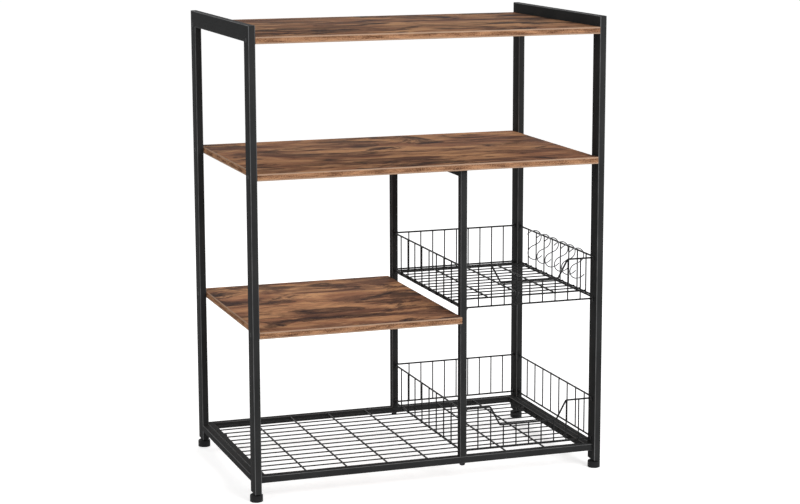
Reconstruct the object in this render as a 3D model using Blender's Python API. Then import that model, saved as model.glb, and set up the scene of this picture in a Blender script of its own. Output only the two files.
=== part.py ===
"""Kitchen rack: two welded side frames, three wooden boards, a centre frame, a
base frame with a wire grid, wire basket panels, S-hooks and levelling feet.

+X is the right-hand side, the front faces -Y and +Z is up. The origin lies on
the floor, in the middle of the four feet. Lengths are in metres.
"""
import math

import bmesh
import bpy
from mathutils import Matrix, Vector

# Overall
WIDTH = 0.800               # over the outer faces of the side frames
DEPTH = 0.500               # over the front and back faces of the posts
POST_HEIGHT = 0.993         # from a post's cut end to the top of the side frame
GAP = 0.0003                # clearance between pieces that touch or seat

# Side frames
POST_FACE = 0.015           # width of a post across the rack
POST_DEPTH = 0.038          # width of a post from front to back
POST_WALL = 0.0015
POST_ROUND = 0.0022         # rounding of a post's long edges
TOP_RAIL_TALL = 0.0355
BAR = 0.015                 # side of the square tube of rails and crossbar
BAR_WALL = 0.0012
BAR_ROUND = 0.0016
EDGE_STEPS = 2              # flats in each rounded tube edge

# Boards; the tops of the middle and lower ones are measured above the posts' cut ends
BOARD_THICK = 0.015
TOP_BOARD_DROP = 0.0235     # top board's upper face below the top of the side frames
MIDDLE_BOARD = 0.6865
LOWER_BOARD = 0.352

# Centre frame and base frame
CENTRE_X = 0.076            # middle of the centre frame, right of the rack's middle
CENTRE_DEPTH = 0.018        # depth of a centre post
FRAME_INSET = 0.0115        # base rails and centre posts behind the boards' edges
BASE_Z = 0.021              # underside of the base rails above the posts' cut ends

# Base grid
GRID_CROSS_WIRE = 0.003     # wires that run from side to side
GRID_LONG_WIRE = 0.004      # wires that run from front to back
GRID_CROSS_COUNT = 14
GRID_LONG_COUNT = 7
GRID_DROP = 0.0055          # cross wires below the top of the base rails

# Basket panels
RIM_WIRE = 0.004
UPRIGHT_WIRE = 0.003
FLOOR_LONG_WIRE = 0.004
WELD_SINK = 0.0008          # how far crossing wires melt into each other
WIRE_TAIL = 0.0008          # end of a wire past the wire that it is welded to
PANEL_TALL = 0.092          # between the axes of the bottom wire and the rim
LOWER_PANEL = 0.0475        # axis of the bottom wire above the posts' cut ends
UPPER_PANEL = 0.367
FACE_BARS = 9               # uprights of a front or back panel
DIP_BARS = 2                # uprights beside a front panel's dip that reach its full height
DIP_DEEP = 0.0425           # how far a front panel's rim dips in the middle
DIP_SLOPE = 0.0232          # length of the sloping rim across the panel
SIDE_BARS = 8               # uprights of a side panel
SIDE_END = 0.044            # last upright to the facing side post
TRAY_RAIL_RISE = 0.0046     # upper basket's second wire above its bottom wire
TRAY_RAIL_END = 0.0075      # end of a second side wire to the facing side post
FLOOR_BARS = 12             # cross wires in the upper basket's floor
FLOOR_END = 0.040           # first floor wire to the facing side post
FLOOR_BRACE_SHARE = 0.262   # outer floor braces from the bay's middle
PANEL_BACK = 0.0125         # front panel's wires behind a centre post's face
RIM_BEND = 0.004            # bend radius of the rim's corners
BEND_STEPS = 2
EYE = 0.010                 # flattened wire end that a screw holds
EYE_THICK = 0.0015
EYE_ASIDE = 0.0055          # eye's middle beside the wire's axis

# Hooks
HOOK_WIRE = 0.0025
HOOK_TALL = 0.072
HOOK_WIDE = 0.036           # across the closed bends of both loops
HOOK_TIP_RADIUS = 0.025     # bend radius of an open tip
HOOK_TIP_SHARE = 0.27       # turn of an open tip past the crown, of a half turn
HOOK_STEPS = 7              # wire lengths in each half turn
HOOK_PASSED = 1             # uprights behind the rearmost hook's own one
# Each hook from its upright, rearmost first, + towards the back
HOOK_PLACES = (0.0035, -0.0035, -0.0035, -0.011, -0.0035, -0.0035)

# Feet
FOOT = 0.028
FOOT_THICK = 0.016
FOOT_EDGE = 0.003
FOOT_NECK = 0.016
FOOT_NECK_TALL = 0.003
STUD = 0.008
STUD_LONG = 0.030
PLUG_TALL = 0.024           # plug pressed into a post's lower end
FOOT_SIDES = 16

# Fasteners
BOARD_SCREW = 0.005
BOARD_SCREW_LONG = 0.040
BOARD_SCREW_HEAD = 0.010
BOARD_SCREW_SINK = 0.0025   # height of the countersunk cone
CROSSBAR_SCREW = 0.004
CROSSBAR_SCREW_LONG = 0.026
CROSSBAR_SCREW_HEAD = 0.008
CROSSBAR_SCREW_RISE = 0.002
CROSSBAR_SCREW_END = 0.090  # from a centre post's inner face
PANEL_SCREW = 0.003
PANEL_SCREW_LONG = 0.007
PANEL_SCREW_SIDES = 6
BOLT = 0.006
BOLT_HEAD = 0.0125
BOLT_RISE = 0.0055
CENTRE_BOLT_LONG = 0.024
BASE_BOLT_LONG = 0.024
BASE_BOLT_CELLS = 4         # grid cells from the middle to a base bolt
CENTRE_END_TALL = 0.006     # threaded end plate welded into a centre post
BOLT_SIDES = 10
SCREW_SIDES = 8
HEAD_ROUND_SHARE = 0.35     # rounding of a domed head, of its height
DOME_SHARE = 0.62           # flat top of a domed head, of its width

OVERRUN = 0.004             # how far cutters run past what they cut
MERGE = 0.000002            # points closer than this are one point

# Sizes that follow
POST_BOTTOM = FOOT_THICK + FOOT_NECK_TALL
POST_TOP = POST_BOTTOM + POST_HEIGHT
TOP_BOARD = POST_HEIGHT - TOP_BOARD_DROP
POST_X = WIDTH / 2 - POST_FACE / 2
POST_Y = DEPTH / 2 - POST_DEPTH / 2
INNER_X = WIDTH / 2 - POST_FACE          # inner faces of the side frames
INNER_Y = DEPTH / 2 - POST_DEPTH         # facing sides of a side frame's posts
MITRE_GAP = GAP * math.hypot(POST_DEPTH, TOP_RAIL_TALL) / POST_DEPTH

RAIL_Y = DEPTH / 2 - FRAME_INSET - BAR / 2
BASE_MID = POST_BOTTOM + BASE_Z + BAR / 2
BASE_TOP = POST_BOTTOM + BASE_Z + BAR
BASE_IN_Y = RAIL_Y - BAR / 2             # inner faces of the front and back rails
BASE_IN_X = INNER_X - BAR                # inner faces of the end rails

CENTRE_Y = DEPTH / 2 - FRAME_INSET - CENTRE_DEPTH / 2
CENTRE_IN_Y = CENTRE_Y - CENTRE_DEPTH / 2
CENTRE_LEFT = CENTRE_X - BAR / 2
CENTRE_RIGHT = CENTRE_X + BAR / 2
MIDDLE_UNDER = POST_BOTTOM + MIDDLE_BOARD - BOARD_THICK

GRID_PITCH_Y = 2 * BASE_IN_Y / GRID_CROSS_COUNT
GRID_PITCH_X = 2 * BASE_IN_X / (GRID_LONG_COUNT + 1)
BASE_BOLT_Y = BASE_BOLT_CELLS * GRID_PITCH_Y

BAY_MID = (CENTRE_RIGHT + INNER_X) / 2   # middle of the basket bay
BAY_SPAN = INNER_X - CENTRE_RIGHT
FACE_PITCH = BAY_SPAN / (FACE_BARS + 1)
FACE_Y = DEPTH / 2 - FRAME_INSET - PANEL_BACK
SIDE_REACH = INNER_Y - SIDE_END          # middle of the panel to its last upright
SIDE_PITCH = 2 * SIDE_REACH / (SIDE_BARS - 1)
FLOOR_REACH = INNER_Y - FLOOR_END        # middle of the basket to its first floor wire
TRAY_RAIL_REACH = INNER_Y - TRAY_RAIL_END
LAP = (RIM_WIRE + UPRIGHT_WIRE) / 2 - WELD_SINK
HOOK_RADIUS = (HOOK_WIDE - HOOK_WIRE) / 2

rack = bpy.data.collections.new("kitchen_rack")
tools = bpy.data.collections.new("kitchen_rack_cutters")


def clear_scene():
    for obj in list(bpy.data.objects):
        bpy.data.objects.remove(obj, do_unlink=True)
    bpy.context.scene.collection.children.link(rack)
    bpy.context.scene.collection.children.link(tools)


def look(name, colour, roughness, metallic):
    material = bpy.data.materials.new(name)
    material.use_nodes = True
    shader = material.node_tree.nodes["Principled BSDF"]
    shader.inputs["Base Color"].default_value = (*colour, 1)
    shader.inputs["Roughness"].default_value = roughness
    shader.inputs["Metallic"].default_value = metallic
    material.diffuse_color = (*colour, 1)
    return material


def piece(name, mesh, material, place=(0, 0, 0)):
    """A finished object in the rack, with its own copy of the material."""
    obj = bpy.data.objects.new(name, mesh)
    obj.location = place
    own = material.copy()
    own.name = name
    mesh.materials.clear()
    mesh.materials.append(own)
    rack.objects.link(obj)
    return obj


def cutter(name, mesh, place=(0, 0, 0)):
    obj = bpy.data.objects.new(name, mesh)
    obj.location = place
    obj.hide_render = True
    obj.display_type = "WIRE"
    tools.objects.link(obj)
    return obj


def combine(obj, other, operation="DIFFERENCE"):
    step = obj.modifiers.new(other.name, "BOOLEAN")
    step.operation = operation
    step.solver = "EXACT"
    step.object = other


def finish_mesh(bm, name, smooth=False):
    bmesh.ops.remove_doubles(bm, verts=bm.verts, dist=MERGE)
    bmesh.ops.recalc_face_normals(bm, faces=bm.faces)
    mesh = bpy.data.meshes.new(name)
    bm.to_mesh(mesh)
    bm.free()
    if smooth:
        mesh.shade_smooth()
        mesh.set_sharp_from_angle(angle=math.radians(40))
    return mesh


def block(name, size, rounding=0, along=2, steps=EDGE_STEPS):
    """A block about its own middle, with the edges along one axis rounded."""
    bm = bmesh.new()
    bmesh.ops.create_cube(bm, size=1)
    bmesh.ops.scale(bm, vec=size, verts=bm.verts)
    if rounding:
        long_edges = []
        for edge in bm.edges:
            run = edge.verts[1].co - edge.verts[0].co
            if abs(run[along]) > run.length / 2:
                long_edges.append(edge)
        bmesh.ops.bevel(bm, geom=long_edges, offset=rounding, segments=steps,
                        profile=0.5, affect="EDGES")
    return finish_mesh(bm, name)


def tube(name, size, place, along, wall, rounding, material, end_plate=0):
    """A rectangular tube, open at its upper or far end, and below where it has no plate."""
    obj = piece(name, block(name, size, rounding, along), material, place)
    hollow = [side - 2 * wall for side in size]
    hollow[along] = size[along] + 2 * OVERRUN
    middle = list(place)
    if end_plate:
        middle[along] += OVERRUN + end_plate
    combine(obj, cutter(name + "_hollow", block(name + "_hollow", hollow), middle))
    return obj


def slant_post(obj, y_side):
    """Cut a post's top along the mitre, from its inner side up to its outer side."""
    top = max(vert.co.z for vert in obj.data.vertices)
    for vert in obj.data.vertices:
        if vert.co.z > top - MERGE:
            inside = POST_DEPTH / 2 - y_side * vert.co.y
            vert.co.z = top - TOP_RAIL_TALL * inside / POST_DEPTH - MITRE_GAP


def slant_rail(obj):
    """Cut both ends of a top rail along the mitres."""
    for vert in obj.data.vertices:
        down = TOP_RAIL_TALL / 2 - vert.co.z
        shorter = POST_DEPTH * down / TOP_RAIL_TALL
        vert.co.y -= math.copysign(shorter, vert.co.y)


def turned(name, profile, sides):
    """A turned piece about +Z, from a profile of (radius, height) points."""
    bm = bmesh.new()
    points = [bm.verts.new((radius, 0, height)) for radius, height in profile]
    edges = [bm.edges.new(pair) for pair in zip(points, points[1:])]
    bmesh.ops.spin(bm, geom=points + edges, cent=(0, 0, 0), axis=(0, 0, 1), dvec=(0, 0, 0),
                   angle=2 * math.pi, steps=sides, use_merge=True)
    bmesh.ops.dissolve_degenerate(bm, edges=bm.edges, dist=MERGE)
    return finish_mesh(bm, name, smooth=True)


def copies(name, mesh, seats):
    """One mesh with a copy of another at each seat, its +Z along the seat's direction."""
    bm = bmesh.new()
    for place, direction in seats:
        start = len(bm.verts)
        bm.from_mesh(mesh)
        bm.verts.ensure_lookup_table()
        turn = Vector((0, 0, 1)).rotation_difference(Vector(direction)).to_matrix().to_4x4()
        bmesh.ops.transform(bm, matrix=Matrix.Translation(place) @ turn, verts=bm.verts[start:])
    result = bpy.data.meshes.new(name)
    bm.to_mesh(result)
    bm.free()
    result.shade_smooth()
    result.set_sharp_from_angle(angle=math.radians(40))
    return result


def fasten(name, mesh, seats, material):
    """One screw or bolt at each named seat, its +Z along the seat's direction."""
    for place_name, (place, direction) in seats.items():
        obj = piece(f"{name}_{place_name}", mesh.copy(), material, place)
        obj.rotation_euler = Vector((0, 0, 1)).rotation_difference(Vector(direction)).to_euler()


def dome_head(width, rise):
    """Profile of a domed head that sits on z = 0, from its top down to its seat."""
    rounding = rise * HEAD_ROUND_SHARE
    return [(0, rise), (width / 2 * DOME_SHARE, rise), (width / 2, rounding), (width / 2, 0)]


def headed(name, head, shank, length, sides, clearance=0):
    """A screw or bolt along -Z; with a clearance, the solid that cuts its way."""
    profile = [(radius + clearance * bool(radius), height) for radius, height in head]
    profile += [(shank / 2 + clearance, profile[-1][1]), (shank / 2 + clearance, -length - clearance),
                (0, -length - clearance)]
    return turned(name, profile, sides)


def shank_only(name, shank, reach, length, sides):
    """The way of a plain shank, from above its seat down past its tip."""
    radius = shank / 2 + GAP
    return turned(name, [(0, reach), (radius, reach), (radius, -length - GAP), (0, -length - GAP)], sides)


def rounded(points, radius):
    """A route of straight lengths with its corners bent to a radius."""
    route = [Vector(points[0])]
    for before, corner, after in zip(points, points[1:], points[2:]):
        corner = Vector(corner)
        back = (Vector(before) - corner).normalized()
        ahead = (Vector(after) - corner).normalized()
        half = back.angle(ahead) / 2
        start = corner + back * radius / math.tan(half)
        middle = corner + (back + ahead).normalized() * radius / math.sin(half)
        arm = start - middle
        turn = math.pi - 2 * half
        axis = arm.cross(-back)
        for step in range(BEND_STEPS + 1):
            route.append(middle + Matrix.Rotation(turn * step / BEND_STEPS, 3, axis) @ arm)
    route.append(Vector(points[-1]))
    return route


def wires(name, routes, thickness):
    """Round wires along routes, as one mesh with a closed body for each."""
    curve = bpy.data.curves.new(name, "CURVE")
    curve.dimensions = "3D"
    curve.bevel_depth = thickness / 2
    curve.bevel_resolution = 1
    curve.use_fill_caps = True
    for route in routes:
        spline = curve.splines.new("POLY")
        spline.points.add(len(route) - 1)
        for point, place in zip(spline.points, route):
            point.co = (*place, 1)
    holder = bpy.data.objects.new(name, curve)
    tools.objects.link(holder)
    seen = holder.evaluated_get(bpy.context.evaluated_depsgraph_get())
    raw = bpy.data.meshes.new_from_object(seen)
    bm = bmesh.new()
    bm.from_mesh(raw)
    bmesh.ops.transform(bm, matrix=holder.matrix_world, verts=bm.verts)
    bpy.data.objects.remove(holder, do_unlink=True)
    bpy.data.curves.remove(curve)
    bpy.data.meshes.remove(raw)
    return finish_mesh(bm, name, smooth=True)


def height(above_posts):
    return POST_BOTTOM + above_posts


clear_scene()
frame_look = look("frame_black", (0.035, 0.036, 0.038), 0.42, 0.0)
wire_look = look("wire_black", (0.03, 0.03, 0.032), 0.4, 0.0)
wood_look = look("rustic_board", (0.33, 0.19, 0.10), 0.5, 0.0)
steel_look = look("bright_steel", (0.72, 0.72, 0.72), 0.22, 1.0)
bolt_look = look("black_bolt", (0.05, 0.05, 0.052), 0.38, 1.0)
rubber_look = look("foot_black", (0.03, 0.03, 0.03), 0.55, 0.0)
SIDES = (("left", -1), ("right", 1))
ENDS = (("front", -1), ("back", 1))

# Side frames
posts = []
for side, x_side in SIDES:
    for end, y_side in ENDS:
        post = tube(f"post_{side}_{end}", (POST_FACE, POST_DEPTH, POST_HEIGHT),
                    (x_side * POST_X, y_side * POST_Y, POST_BOTTOM + POST_HEIGHT / 2), 2,
                    POST_WALL, POST_ROUND, frame_look)
        slant_post(post, y_side)
        posts.append(post)
    rail = tube(f"rail_{side}_top", (POST_FACE, DEPTH, TOP_RAIL_TALL),
                (x_side * POST_X, 0, POST_TOP - TOP_RAIL_TALL / 2), 1,
                POST_WALL, POST_ROUND, frame_look)
    slant_rail(rail)
side_rails = []
for side, x_side in SIDES:
    side_rails.append(tube(f"rail_{side}_bottom", (BAR, 2 * (INNER_Y - GAP), BAR),
                           (x_side * (INNER_X + BAR / 2), 0, BASE_MID), 1,
                           BAR_WALL, BAR_ROUND, frame_look))

# Base frame and its grid
base_rails = []
for end, y_side in ENDS:
    base_rails.append(tube(f"base_rail_{end}", (2 * (INNER_X - GAP), BAR, BAR),
                           (0, y_side * RAIL_Y, BASE_MID), 0, BAR_WALL, BAR_ROUND, frame_look))
end_rails = []
for side, x_side in SIDES:
    end_rails.append(tube(f"base_rail_{side}", (BAR - GAP, 2 * (BASE_IN_Y - GAP), BAR),
                          (x_side * (BASE_IN_X + (BAR - GAP) / 2), 0, BASE_MID), 1,
                          BAR_WALL, BAR_ROUND, frame_look))

cross_z = BASE_TOP - GRID_DROP
long_z = cross_z + (GRID_CROSS_WIRE + GRID_LONG_WIRE) / 2 - WELD_SINK
cross_routes = []
for index in range(GRID_CROSS_COUNT):
    y = (index - (GRID_CROSS_COUNT - 1) / 2) * GRID_PITCH_Y
    cross_routes.append([(-BASE_IN_X + GAP, y, cross_z), (BASE_IN_X - GAP, y, cross_z)])
long_routes = []
for index in range(GRID_LONG_COUNT):
    x = (index - (GRID_LONG_COUNT - 1) / 2) * GRID_PITCH_X
    long_routes.append([(x, -BASE_IN_Y + GAP, long_z), (x, BASE_IN_Y - GAP, long_z)])
grid = piece("base_grid", wires("base_grid", cross_routes, GRID_CROSS_WIRE), wire_look)
combine(grid, cutter("base_grid_long", wires("base_grid_long", long_routes, GRID_LONG_WIRE)), "UNION")

# Centre frame
centre_tall = MIDDLE_UNDER - BASE_TOP - 2 * GAP
centre_posts = []
for end, y_side in ENDS:
    centre_posts.append(tube(f"centre_post_{end}", (BAR, CENTRE_DEPTH, centre_tall),
                             (CENTRE_X, y_side * CENTRE_Y, BASE_TOP + GAP + centre_tall / 2), 2,
                             BAR_WALL, BAR_ROUND, frame_look, CENTRE_END_TALL))
crossbar = tube("centre_crossbar", (BAR, 2 * (CENTRE_IN_Y - GAP), BAR),
                (CENTRE_X, 0, MIDDLE_UNDER - GAP - BAR / 2), 1, BAR_WALL, BAR_ROUND, frame_look)

# Boards
boards = []
for name, top, right in (("board_top", TOP_BOARD, INNER_X), ("board_middle", MIDDLE_BOARD, INNER_X),
                         ("board_lower", LOWER_BOARD, CENTRE_LEFT)):
    left = -INNER_X
    size = (right - left - 2 * GAP, DEPTH, BOARD_THICK)
    place = ((left + right) / 2, 0, height(top) - BOARD_THICK / 2)
    boards.append(piece(name, block(name, size), wood_look, place))
board_top, board_middle, board_lower = boards

# Board screws, countersunk in the outer faces of the posts
screw_head = [(0, 0), (BOARD_SCREW_HEAD / 2, 0), (BOARD_SCREW / 2, -BOARD_SCREW_SINK)]
board_seats = {}
for level, top in (("top", TOP_BOARD), ("middle", MIDDLE_BOARD), ("lower", LOWER_BOARD)):
    z = height(top) - BOARD_THICK / 2
    for side, x_side in SIDES:
        for end, y_side in ENDS:
            seat = ((x_side * WIDTH / 2, y_side * POST_Y, z), (x_side, 0, 0))
            if level == "lower" and side == "right":
                seat = ((CENTRE_RIGHT, y_side * CENTRE_Y, z), (1, 0, 0))
            board_seats[f"{level}_{side}_{end}"] = seat
board_screw = headed("board_screw", screw_head, BOARD_SCREW, BOARD_SCREW_LONG, SCREW_SIDES)
fasten("board_screw", board_screw, board_seats, bolt_look)
way_head = [(0, OVERRUN), (BOARD_SCREW_HEAD / 2, OVERRUN)] + screw_head[1:]
board_way = headed("board_screw_way", way_head, BOARD_SCREW, BOARD_SCREW_LONG, SCREW_SIDES, GAP)
board_ways = cutter("board_screw_ways", copies("board_screw_ways", board_way, board_seats.values()))
for obj in posts + centre_posts + boards:
    combine(obj, board_ways)

# Screws up through the crossbar into the middle board
crossbar_y = CENTRE_IN_Y - CROSSBAR_SCREW_END
crossbar_z = MIDDLE_UNDER - GAP - BAR
crossbar_seats = {}
for end, y_side in ENDS:
    crossbar_seats[end] = ((CENTRE_X, y_side * crossbar_y, crossbar_z - GAP), (0, 0, -1))
crossbar_screw = headed("crossbar_screw", dome_head(CROSSBAR_SCREW_HEAD, CROSSBAR_SCREW_RISE),
                        CROSSBAR_SCREW, CROSSBAR_SCREW_LONG, SCREW_SIDES)
fasten("crossbar_screw", crossbar_screw, crossbar_seats, bolt_look)
crossbar_way = shank_only("crossbar_screw_way", CROSSBAR_SCREW, OVERRUN, CROSSBAR_SCREW_LONG, SCREW_SIDES)
crossbar_ways = cutter("crossbar_screw_ways",
                       copies("crossbar_screw_ways", crossbar_way, crossbar_seats.values()))
combine(crossbar, crossbar_ways)
combine(board_middle, crossbar_ways)

# Bolts up through the base rails into the centre posts' threaded ends
bolt_head = dome_head(BOLT_HEAD, BOLT_RISE)
centre_seats = {}
for end, y_side in ENDS:
    centre_seats[end] = ((CENTRE_X, y_side * RAIL_Y, BASE_TOP - BAR - GAP), (0, 0, -1))
centre_bolt = headed("centre_bolt", bolt_head, BOLT, CENTRE_BOLT_LONG, BOLT_SIDES)
fasten("centre_bolt", centre_bolt, centre_seats, bolt_look)
centre_way = shank_only("centre_bolt_way", BOLT, OVERRUN, CENTRE_BOLT_LONG, BOLT_SIDES)
centre_ways = cutter("centre_bolt_ways", copies("centre_bolt_ways", centre_way, centre_seats.values()))
for obj in base_rails + centre_posts:
    combine(obj, centre_ways)

# Bolts through the base frame's end rails into the side frames' rails
base_seats = {}
for side, x_side in SIDES:
    for end, y_side in ENDS:
        place = (x_side * (BASE_IN_X - GAP), y_side * BASE_BOLT_Y, BASE_MID)
        base_seats[f"{side}_{end}"] = (place, (-x_side, 0, 0))
base_bolt = headed("base_bolt", bolt_head, BOLT, BASE_BOLT_LONG, BOLT_SIDES)
fasten("base_bolt", base_bolt, base_seats, bolt_look)
base_way = shank_only("base_bolt_way", BOLT, OVERRUN, BASE_BOLT_LONG, BOLT_SIDES)
base_ways = cutter("base_bolt_ways", copies("base_bolt_ways", base_way, base_seats.values()))
for obj in end_rails + side_rails:
    combine(obj, base_ways)

# Basket panels: each wire end carries a flattened eye that a screw holds to a post
eye_mesh = turned("eye", [(0, EYE_THICK), (EYE / 2, EYE_THICK), (EYE / 2, 0), (0, 0)], SCREW_SIDES)
panel_seats = {"upper": [], "lower": []}


def eyes_for(ends, level):
    """Eyes beside wire ends given as (end on the post's face, away from it, aside)."""
    seats = []
    for face, away, aside in ends:
        middle = Vector(face) + Vector(aside) * EYE_ASIDE
        seats.append((middle + Vector(away) * GAP, away))
        panel_seats[level].append((middle + Vector(away) * (2 * GAP + EYE_THICK), away))
    return seats


def rim_ends(start, stop, away, aside, levels):
    """The two ends of each straight wire between facing posts."""
    ends = []
    for z in levels:
        ends.append(((*start, z), away, aside))
        ends.append(((*stop, z), tuple(-part for part in away), aside))
    return ends


def face_panel(level, end, y_side, base):
    """Front or back panel; a front panel's rim dips in the middle."""
    low = height(base)
    rim = low + PANEL_TALL
    y = y_side * FACE_Y
    seat = GAP + EYE_THICK / 2
    start, stop = CENTRE_RIGHT + seat, INNER_X - seat
    frame = [[(start, y, low), (stop, y, low)]]
    if end == "front":
        shoulder = BAY_SPAN / 2 - DIP_BARS * FACE_PITCH
        trough = shoulder - DIP_SLOPE
        rim_route = [(start, y, rim), (BAY_MID - shoulder, y, rim),
                     (BAY_MID - trough, y, rim - DIP_DEEP), (BAY_MID + trough, y, rim - DIP_DEEP),
                     (BAY_MID + shoulder, y, rim), (stop, y, rim)]
        frame.append(rounded(rim_route, RIM_BEND))
    else:
        frame.append([(start, y, rim), (stop, y, rim)])
        if level == "upper":
            frame.append([(start, y, low + TRAY_RAIL_RISE), (stop, y, low + TRAY_RAIL_RISE)])
    uprights = []
    lap_y = y + y_side * LAP
    for index in range(FACE_BARS):
        x = BAY_MID + (index - (FACE_BARS - 1) / 2) * FACE_PITCH
        dips = end == "front" and min(index, FACE_BARS - 1 - index) >= DIP_BARS
        top = rim - DIP_DEEP if dips else rim
        uprights.append([(x, lap_y, low - WIRE_TAIL), (x, lap_y, top + WIRE_TAIL)])
    name = f"{level}_panel_{end}"
    panel = piece(name, wires(name, uprights, UPRIGHT_WIRE), wire_look)
    combine(panel, cutter(name + "_rims", wires(name + "_rims", frame, RIM_WIRE)), "UNION")
    ends = rim_ends((CENTRE_RIGHT, y), (INNER_X, y), (1, 0, 0), (0, y_side, 0), (low, rim))
    eyes = copies(name + "_eyes", eye_mesh, eyes_for(ends, level))
    combine(panel, cutter(name + "_eyes", eyes), "UNION")
    return panel


def side_wires(x, reach, base):
    """Rim and bottom wire of a side panel, and the ends that meet the posts."""
    low = height(base)
    rim = low + PANEL_TALL
    stop = reach - GAP - EYE_THICK / 2
    frame = [[(x, -stop, z), (x, stop, z)] for z in (low, rim)]
    ends = rim_ends((x, -reach), (x, reach), (0, 1, 0), (0, 0, 1), (low, rim))
    return frame, ends


def side_uprights(x, base):
    low = height(base) - WIRE_TAIL
    rim = height(base) + PANEL_TALL + WIRE_TAIL
    rows = [(index - (SIDE_BARS - 1) / 2) * SIDE_PITCH for index in range(SIDE_BARS)]
    return [[(x, y, low), (x, y, rim)] for y in rows]


SIDE_PANELS = (("left", CENTRE_X, CENTRE_IN_Y, -1), ("right", POST_X, INNER_Y, 1))
panels = {"upper": [], "lower": []}
for level, base in (("lower", LOWER_PANEL), ("upper", UPPER_PANEL)):
    for end, y_side in ENDS:
        panels[level].append(face_panel(level, end, y_side, base))

# Lower side panels stand alone over the base grid
for side, x, reach, x_side in SIDE_PANELS:
    name = f"lower_panel_{side}"
    frame, ends = side_wires(x, reach, LOWER_PANEL)
    uprights = side_uprights(x + x_side * LAP, LOWER_PANEL)
    panel = piece(name, wires(name, uprights, UPRIGHT_WIRE), wire_look)
    combine(panel, cutter(name + "_rims", wires(name + "_rims", frame, RIM_WIRE)), "UNION")
    eyes = copies(name + "_eyes", eye_mesh, eyes_for(ends, "lower"))
    combine(panel, cutter(name + "_eyes", eyes), "UNION")
    panels["lower"].append(panel)

# Upper tray: both side panels and the floor are one welded piece. The floor's cross wires
# lie on the second side wires, the first and last ones thicker, and the braces lie on them
tray_rail_z = height(UPPER_PANEL) + TRAY_RAIL_RISE
floor_z = tray_rail_z + (RIM_WIRE + UPRIGHT_WIRE) / 2 - WELD_SINK
tray_rim = height(UPPER_PANEL) + PANEL_TALL
tray_thin = []
tray_thick = []
tray_ends = []
for side, x, reach, x_side in SIDE_PANELS:
    frame, ends = side_wires(x, reach, UPPER_PANEL)
    tray_thin += side_uprights(x + x_side * LAP, UPPER_PANEL)
    tray_thick += frame + [[(x, -TRAY_RAIL_REACH, tray_rail_z), (x, TRAY_RAIL_REACH, tray_rail_z)]]
    tray_ends += ends
floor_ends = []
for index in range(FLOOR_BARS):
    y = (2 * index / (FLOOR_BARS - 1) - 1) * FLOOR_REACH
    bar = [(CENTRE_X - WIRE_TAIL, y, floor_z), (POST_X + WIRE_TAIL, y, floor_z)]
    if index in (0, FLOOR_BARS - 1):
        floor_ends.append(bar)
    else:
        tray_thin.append(bar)
brace_z = floor_z + (UPRIGHT_WIRE + FLOOR_LONG_WIRE) / 2 - WELD_SINK
braces = []
for step in (-1, 0, 1):
    x = BAY_MID + step * FLOOR_BRACE_SHARE * BAY_SPAN
    braces.append([(x, -FLOOR_REACH - WIRE_TAIL, brace_z), (x, FLOOR_REACH + WIRE_TAIL, brace_z)])
tray = piece("upper_tray", wires("upper_tray", tray_thin, UPRIGHT_WIRE), wire_look)
combine(tray, cutter("upper_tray_rims", wires("upper_tray_rims", tray_thick, RIM_WIRE)), "UNION")
combine(tray, cutter("upper_tray_ends", wires("upper_tray_ends", floor_ends, FLOOR_LONG_WIRE)), "UNION")
combine(tray, cutter("upper_tray_braces", wires("upper_tray_braces", braces, FLOOR_LONG_WIRE)), "UNION")
combine(tray, cutter("upper_tray_eyes", copies("upper_tray_eyes", eye_mesh, eyes_for(tray_ends, "upper"))),
        "UNION")
panels["upper"].append(tray)

# Ways of the small screws that hold the eyes to the posts
panel_way = shank_only("panel_screw_way", PANEL_SCREW, OVERRUN, PANEL_SCREW_LONG, PANEL_SCREW_SIDES)
for level, seats in panel_seats.items():
    name = f"panel_screw_ways_{level}"
    ways = cutter(name, copies(name, panel_way, seats))
    for obj in panels[level] + centre_posts + posts[2:]:
        combine(obj, ways)

# Hooks: each hangs over the upper right rim, with its origin on the rim's axis. The half
# below its middle is the upper half turned round
crown = (RIM_WIRE + HOOK_WIRE) / 2 + GAP
hook_span = HOOK_TALL - HOOK_WIRE
leave = math.acos(2 * HOOK_RADIUS / (hook_span - 2 * HOOK_RADIUS))


def hook_arc(radius, first, last):
    """Points of a bend below the crown, its turn counted from the crown to the open side."""
    steps = math.ceil(abs(last - first) / math.pi * HOOK_STEPS)
    points = []
    for step in range(steps + 1):
        turn = first + (last - first) * step / steps
        points.append(Vector((-radius * math.sin(turn), 0, crown - radius + radius * math.cos(turn))))
    return points


upper_half = hook_arc(HOOK_TIP_RADIUS, math.pi * HOOK_TIP_SHARE, 0)
upper_half += hook_arc(HOOK_RADIUS, 0, leave - math.pi)[1:]
hook_route = list(upper_half)
for point in reversed(upper_half):
    hook_route.append(Vector((-point.x, 0, 2 * crown - hook_span - point.z)))
for number, aside in enumerate(HOOK_PLACES):
    bar = SIDE_BARS - 1 - HOOK_PASSED - number
    y = (bar - (SIDE_BARS - 1) / 2) * SIDE_PITCH + aside
    name = f"hook_{number + 1}"
    piece(name, wires(name, [hook_route], HOOK_WIRE), steel_look, (POST_X, y, tray_rim))

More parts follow.
